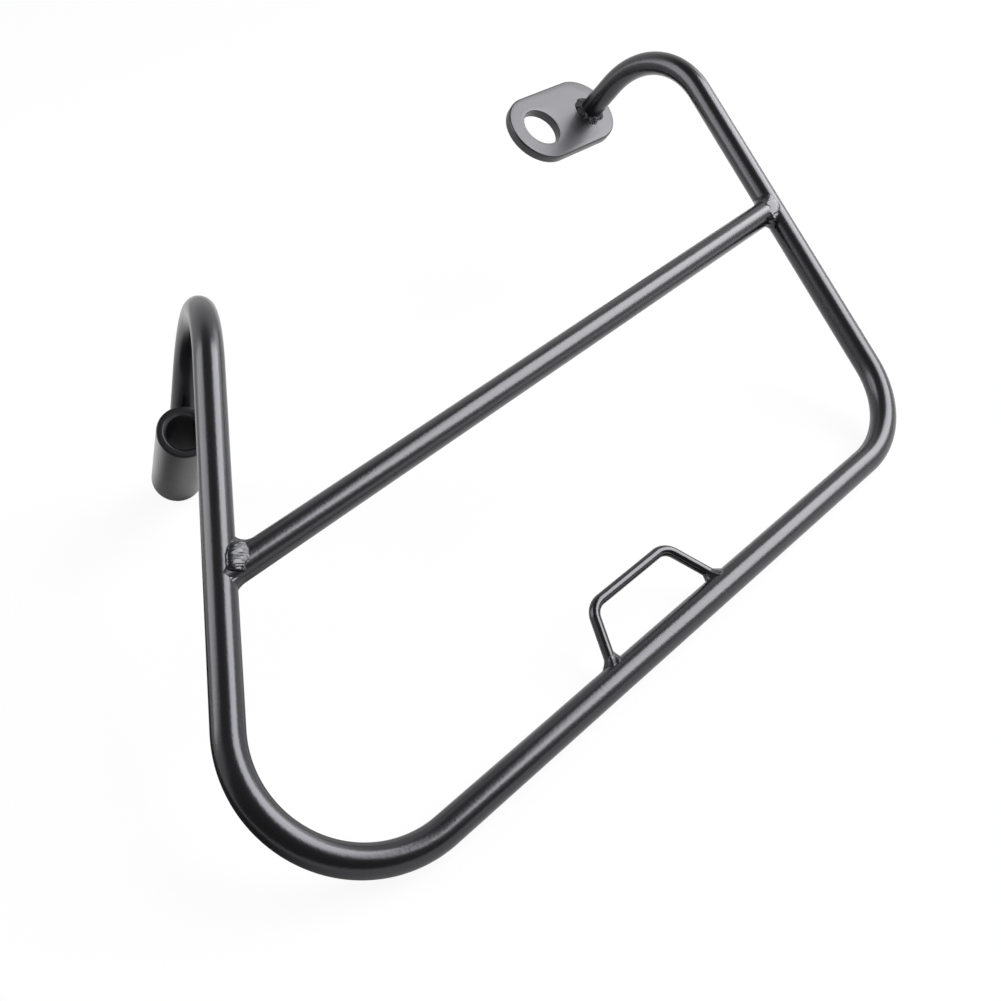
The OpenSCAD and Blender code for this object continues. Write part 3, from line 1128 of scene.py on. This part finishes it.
@dataclass
class Bead:
    """A weld bead round a bar that leaves a face, with the ripples of its puddles.

    Round the joint runs u and across the bead runs v, from the edge on the face to the
    edge on the bar. The section is the chord between the edges plus an arch of
    (4 v (1 - v))^fullness, as high as the seam stands over the chord, with the web on top,
    which is negative where the bead is hollow. Crescent ripples, each a steep front and a
    slow back, ride on the arch, and pads stand on top. Both edges are scalloped by bite, and
    sink below the metal by root. The back of the ring lies core deep.
    """

    name: str
    node: str
    foot: np.ndarray
    way: np.ndarray
    side: np.ndarray
    bar_r: float
    face: Face
    reach: float = 3.4
    climb: float = 3.4
    ease: float = 1.7
    lobe: float = 0.0
    lobe_at: float = 90.0
    web: float = 0.3
    hollow: float = 0.0
    ripples: int = 12
    ripple_h: float = 0.3
    pits: float = 0.1
    wander: float = 0.14
    fullness: float = 0.75
    lean: float = 0.6
    seed: int = 1
    around: int = 480
    across: int = 34
    bite: float = 0.05
    crown_wander: float = 0.2
    pace_wander: float = 1.6
    crescent: float = 1.5
    steep: float = 0.7
    pit_rows: int = 3
    pad_fade: float = 0.25
    root: float = 0.15
    core: float = 0.3
    spreads: tuple[Spread, ...] = ()
    pads: tuple[Pad, ...] = ()

    def waves(self, u: np.ndarray, hand: Hand) -> np.ndarray:
        """A smooth random function round the joint, between about -1 and 1.

        It is the sum of sin(k u + phase) over the orders k, divided by the root of their
        number, with seeded phases.

        Args:
            u: angles round the joint.
            hand: picks one function of this bead.

        Returns:
            The function at u.
        """
        low, high, salt = hand.value
        k = np.arange(low, high + 1)
        phase = np.random.default_rng(self.seed * 100 + salt).uniform(0, FULL_TURN, len(k))
        return np.sin(k * u[..., None] + phase).sum(-1) / math.sqrt(len(k))

    def grid(self) -> np.ndarray:
        """Points of the bead, with a back that is sunk inside the bars."""
        u = np.linspace(0, FULL_TURN, self.around, endpoint=False)
        spoke = (np.cos(u)[:, None] * self.side
                 + np.sin(u)[:, None] * np.cross(self.way, self.side))
        start = self.foot + self.bar_r * spoke
        seam, eased = (start + self.face.far(start, self.way, ease)[:, None] * self.way
                       for ease in (0.0, self.ease))
        normal = self.face.normal(seam)
        away = unit(square_part(spoke, normal) - self.lean * square_part(self.way, normal))
        bite = self.bite * np.cos(self.ripples * u + self.waves(u, Hand.BITE))
        lobe = np.cos(u - math.radians(self.lobe_at))
        out, up = (size * (1 + self.lobe * lobe + self.wander * self.waves(u, hand) + bite)
                   for hand, size in ((Hand.REACH, self.reach), (Hand.CLIMB, self.climb)))
        for spread in self.spreads:
            out = out + spread.reach * spread.share(u)
            up = up + spread.climb * spread.share(u)
        edge = self.face.drop(eased + away * out[:, None])
        top = eased + up[:, None] * self.way
        swell = unit(normal + spoke)
        hump = np.maximum(((seam - (edge + top) / 2) * swell).sum(-1), 0)
        crown = self.web - self.hollow * np.maximum(lobe, 0) ** 2
        proud = hump + crown * (1 + self.crown_wander * self.waves(u, Hand.CROWN))

        v = np.linspace(0, 1, self.across)[None, :]
        crest = 4 * v * (1 - v)
        pace = self.ripples * u + self.pace_wander * self.waves(u, Hand.PACE)
        phase = pace[:, None] + self.crescent * (2 * v - 1) ** 2
        ripple = np.sin(phase + self.steep * np.sin(phase)) * (self.ripple_h / 2)
        pits = np.sin(math.pi * v * self.pit_rows + u[:, None])
        pits = pits * self.waves(u, Hand.PITS)[:, None] * self.pits
        height = crest**self.fullness * (proud[:, None] + ripple + pits)
        front = edge[:, None] + (top - edge)[:, None] * v[..., None]
        front = front + height[..., None] * swell[:, None]
        for pad in self.pads:
            front = pad.raised(front, crest**self.pad_fade)
        front[:, 0] -= self.root * self.face.normal(edge)
        front[:, -1] -= self.root * spoke
        mid_face = self.face.drop((seam + edge) / 2)
        sunk = [(seam + top) / 2 - self.core * spoke, seam - self.core * swell,
                mid_face - self.core * self.face.normal(mid_face)]
        return np.concatenate([front, *(p[:, None] for p in sunk)], 1)

    def build(self, finish: bpy.types.Material, layout: Layout) -> bpy.types.Object:
        """Makes the bead as one closed ring."""
        grid = np.swapaxes(self.grid(), 0, 1)
        return piece(self.name, [Shell(grid)], self.node, finish, layout, crease=60)


@dataclass
class Welds:
    """All the beads of the part."""

    layout: Layout

    def beads(self) -> list[Bead]:
        """The beads, each with its joint and its own hand."""
        lay = self.layout
        a, b = lay.cross_ends
        cross = unit(b - a)
        left, right = lay.side_faces
        foot_a, top_a, top_b, foot_b = lay.strap_corners
        arm_side = unit(np.cross(lay.sleeve_axis, lay.arm_dir))
        top_side = unit(square_part(lay.plate_long, lay.top_dir))
        inwards = np.array([lay.left_dir[2], 0, -lay.left_dir[0]])
        over = np.array([-cross[2], 0, cross[0]])
        corner_pad = Pad(a + lay.left_dir * 6.2 + inwards * 5.9 - Y * 7.1,
                         np.array([0.185, -0.975, -0.121]), lay.left_dir, half_along=5.5,
                         half_across=4.1, thick=0.5, ripple_h=0.14)
        smooth_pad = Pad(b - cross * 5.4 - over * 1.0 - Y * 6.45,
                         np.array([-0.095, -0.99, -0.108]), cross, half_along=4.6,
                         half_across=3.6, thick=0.4, square=2.4)
        drop = Pad(b - cross * 9.5 - over * 7.2 - Y * 5.2, -over * 0.78 - Y * 0.62,
                   cross, half_along=2.1, half_across=2.1, thick=2.2, square=2.0)
        straps = [
            Bead(f"strap_weld_{hand}_coated", f"strap_weld_{hand}", foot, unit(top - foot),
                 Y, lay.wire_d / 2, lay.lower_face, reach=2.2, climb=3.0, ease=0.8,
                 web=-0.1, ripples=7, ripple_h=0.05, pits=0.02, seed=seed, around=200,
                 across=18)
            for hand, foot, top, seed in (("left", foot_a, top_a, 13),
                                          ("right", foot_b, top_b, 17))]
        return [
            Bead("cross_weld_left_coated", "cross_weld_left", a, cross, Y, lay.bar_r, left,
                 reach=3.0, climb=3.9, ease=5.0, lobe=0.3, web=-0.3, hollow=0.6,
                 ripples=21, ripple_h=0.06, pits=0.02, seed=3, across=44,
                 spreads=(Spread(152.0, 42.0, 0.8, 3.6),), pads=(corner_pad,)),
            Bead("cross_weld_right_coated", "cross_weld_right", b, -cross, Y, lay.bar_r,
                 right, reach=2.8, climb=2.8, ease=1.9, lobe_at=122.0, web=-0.1,
                 hollow=1.0, ripples=9, ripple_h=0.05, pits=0.02, seed=7, across=44,
                 spreads=(Spread(178.0, 42.0, 1.0, 3.0), Spread(128.0, 30.0, 0.0, 4.6)),
                 pads=(smooth_pad, drop)),
            Bead("sleeve_weld_coated", "sleeve_weld", lay.sleeve_mid, -lay.arm_dir,
                 arm_side, lay.bar_r, lay.sleeve_face, web=0.5, ripple_h=0.14, pits=0.03,
                 seed=11),
            Bead("plate_weld_coated", "plate_weld", lay.plate_point, -lay.top_dir, top_side,
                 lay.bar_r, lay.plate_face, reach=2.7, climb=2.5, ripples=11,
                 ripple_h=0.42, web=0.0, pits=0.26, wander=0.3, seed=5),
            *straps,
        ]

    def build(self, finish: bpy.types.Material) -> list[bpy.types.Object]:
        """Makes every bead."""
        return [bead.build(finish, self.layout) for bead in self.beads()]


# The studio

class Fall(Enum):
    """What a ray has to be to see the plain white surround."""

    CAMERA = "Is Camera Ray"
    GLOSSY = "Is Glossy Ray"
    CLEAR = "Is Transmission Ray"


@dataclass(frozen=True)
class Softbox:
    """A rectangular studio lamp that looks at the part from a direction.

    Angles are degrees, azimuth from +X towards +Y. A radiance of 1 is the white of paper
    in the light of the studio.
    """

    name: str
    azimuth: float
    elevation: float
    wide: float
    high: float
    radiance: float
    roll: float = 0.0
    distance: float = 1.8
    aim: tuple[float, float, float] = (0.0, 0.0, 0.05)

    def build(self) -> bpy.types.Object:
        """Makes the lamp, as wide and high as its angles say."""
        level = math.cos(math.radians(self.elevation))
        way = Vector((level * math.cos(math.radians(self.azimuth)),
                      level * math.sin(math.radians(self.azimuth)),
                      math.sin(math.radians(self.elevation))))
        data = bpy.data.lights.new(self.name, "AREA")
        data.shape = "RECTANGLE"
        data.size = 2 * self.distance * math.tan(math.radians(self.wide) / 2)
        data.size_y = 2 * self.distance * math.tan(math.radians(self.high) / 2)
        data.energy = self.radiance * math.pi * data.size * data.size_y
        made = add_object(self.name, data)
        made.location = Vector(self.aim) + way * self.distance
        turn = (-way).to_track_quat("-Z", "Y").to_matrix().to_4x4()
        turn = turn @ Matrix.Rotation(math.radians(self.roll), 4, "Z")
        made.rotation_euler = turn.to_euler()
        return made


@dataclass(frozen=True)
class Studio:
    """Plain white floor and surround, soft lamps and the camera."""

    floor_size: float = 12.0
    floor_white: float = 0.88
    floor_glow: float = 0.92
    mirrored_glow: float = 0.1
    # Centre, radius, soft edge and grey of a floor disc painted dark for glossy rays only, a
    # painted dark reflection
    painted_reflection_at: tuple[float, float] = (-0.27, 0.03)
    painted_reflection_radius: float = 0.12
    painted_reflection_fade: float = 0.09
    painted_reflection_grey: float = 0.06
    ambient: float = 0.15
    walls: float = 0.95
    ceiling: float = 0.18
    shade_at: float = -126.0
    shade: float = 0.88
    shade_from: float = 0.3
    shade_to: float = 0.5
    ceiling_from: float = 0.62
    ceiling_to: float = 0.92
    camera_at: tuple[float, float, float] = (-0.29396, -0.32745, 0.33744)
    azimuth: float = 41.37
    elevation: float = -38.59
    roll: float = 6.28
    lens: float = 41.51
    sensor: float = 36.0
    clip: tuple[float, float] = (0.01, 50.0)
    lamps: tuple[Softbox, ...] = (
        Softbox("key_softbox", -33.5, 42.0, 47.0, 38.0, 8.1, roll=15.0),
        Softbox("right_softbox", -2.0, 23.0, 32.0, 24.0, 2.2),
        Softbox("left_softbox", 134.0, 36.0, 30.0, 44.0, 3.6),
    )

    def seen(self, graph: Graph, mirrored: float = 1.0) -> Socket:
        """How much of the plain white a ray sees.

        Args:
            graph: the graph that asks.
            mirrored: share for rays that mirror or refract, where the camera's see all.

        Returns:
            The share, between nought and one.
        """
        camera, glossy, clear = (graph.node("ShaderNodeLightPath", out=fall.value)
                                 for fall in Fall)
        behind = (glossy + clear).above(0.0, 0.5)
        return camera + behind * mirrored

    def surround(self) -> None:
        """Sets the world round the part.

        It is white for the camera and an even light for the rest. Mirrors see a white
        room with a dim ceiling and a dark side behind the camera.
        """
        world = bpy.data.worlds.new("studio_surround")
        bpy.context.scene.world = world
        graph = Graph(world)
        x, y, height = graph.axes(graph.node("ShaderNodeTexCoord", out="Generated"))
        ceiling = height.above(self.ceiling_from, self.ceiling_to)
        turn = math.radians(self.shade_at)
        facing = x * math.cos(turn) + y * math.sin(turn)
        wall = (1 - facing.above(self.shade_from, self.shade_to) * self.shade) * self.walls
        room = wall + ceiling * (self.ceiling - wall)
        camera = graph.node("ShaderNodeLightPath", out=Fall.CAMERA.value)
        strength = self.ambient + self.seen(graph) * (room - self.ambient)
        strength = strength + camera * (1 - room)
        light = graph.node("ShaderNodeBackground", None, Color=grey(1.0), Strength=strength)
        graph.node("ShaderNodeOutputWorld", None, Surface=light)

    def floor(self) -> None:
        """A plain white floor under the part.

        Mirrors see a painted dark reflection on it, a dark grey disc with a soft edge.
        """
        half = self.floor_size / 2
        mesh = bpy.data.meshes.new("studio_floor")
        corners = [(-half, -half, 0), (half, -half, 0), (half, half, 0), (-half, half, 0)]
        mesh.from_pydata(corners, [], [(0, 1, 2, 3)])
        made = add_object("studio_floor", mesh)
        material = bpy.data.materials.new("floor_paper")
        graph = Graph(material)
        paper = graph.node("ShaderNodeBsdfDiffuse", None, Color=grey(self.floor_white))
        glow = graph.node("ShaderNodeEmission", None, Color=grey(1.0), Strength=1.0)
        share = self.seen(graph, self.mirrored_glow / self.floor_glow) * self.floor_glow
        shader = graph.node("ShaderNodeMixShader", None, share, paper, glow)
        x, y = graph.axes(graph.node("ShaderNodeTexCoord", out="Object"), "XY")
        # Painted dark reflection: inside a soft-edged disc, glossy rays see the floor as dark
        # grey
        away = ((x - self.painted_reflection_at[0]) ** 2 + (y - self.painted_reflection_at[1]) ** 2) ** 0.5
        painted_reflection_mask = 1 - away.above(self.painted_reflection_radius, self.painted_reflection_radius + self.painted_reflection_fade)
        glossy = graph.node("ShaderNodeLightPath", out=Fall.GLOSSY.value)
        dark = graph.node("ShaderNodeBsdfDiffuse", None, Color=grey(self.painted_reflection_grey))
        shader = graph.node("ShaderNodeMixShader", None, painted_reflection_mask * glossy, shader, dark)
        graph.node("ShaderNodeOutputMaterial", None, Surface=shader)
        mesh.materials.append(material)

    def camera(self) -> None:
        """The camera where the photograph was taken from."""
        data = bpy.data.cameras.new("studio_camera")
        data.lens, data.sensor_width = self.lens, self.sensor
        data.clip_start, data.clip_end = self.clip
        made = add_object("studio_camera", data)
        turn = (Matrix.Rotation(math.radians(-self.azimuth), 4, "Z")
                @ Matrix.Rotation(math.radians(90 + self.elevation), 4, "X")
                @ Matrix.Rotation(math.radians(-self.roll), 4, "Z"))
        made.matrix_world = Matrix.Translation(self.camera_at) @ turn
        bpy.context.scene.camera = made

    def build(self) -> None:
        """Builds the studio and sets the view transform."""
        bpy.context.scene.view_settings.view_transform = "Standard"
        self.surround()
        self.floor()
        for lamp in self.lamps:
            lamp.build()
        self.camera()


def main() -> None:
    """Builds the part piece by piece, and then the studio."""
    logging.basicConfig(level=logging.INFO, format="%(name)s: %(message)s")
    layout = Layout()
    coat = PowderCoat("powder_coat").build()
    bead_coat = PowderCoat("bead_coat", gloss_rough=0.22, lump_scale=420.0,
                           lump_depth=0.00003).build()
    sleeve_coat = PowderCoat("sleeve_coat", thin_in=BORE_WALL).build()
    wire_coat = PowderCoat("wire_coat", gloss_rough=0.17).build()
    plate_coat = PowderCoat("plate_coat", gloss_rough=0.36).build()
    for maker, finish in ((HoopBar, coat), (CrossBar, coat), (StrapLoop, wire_coat),
                          (MountSleeve, sleeve_coat), (MountPlate, plate_coat)):
        maker(layout).build(finish)
    Welds(layout).build(bead_coat)
    Studio().build()


if __name__ == "__main__":
    main()
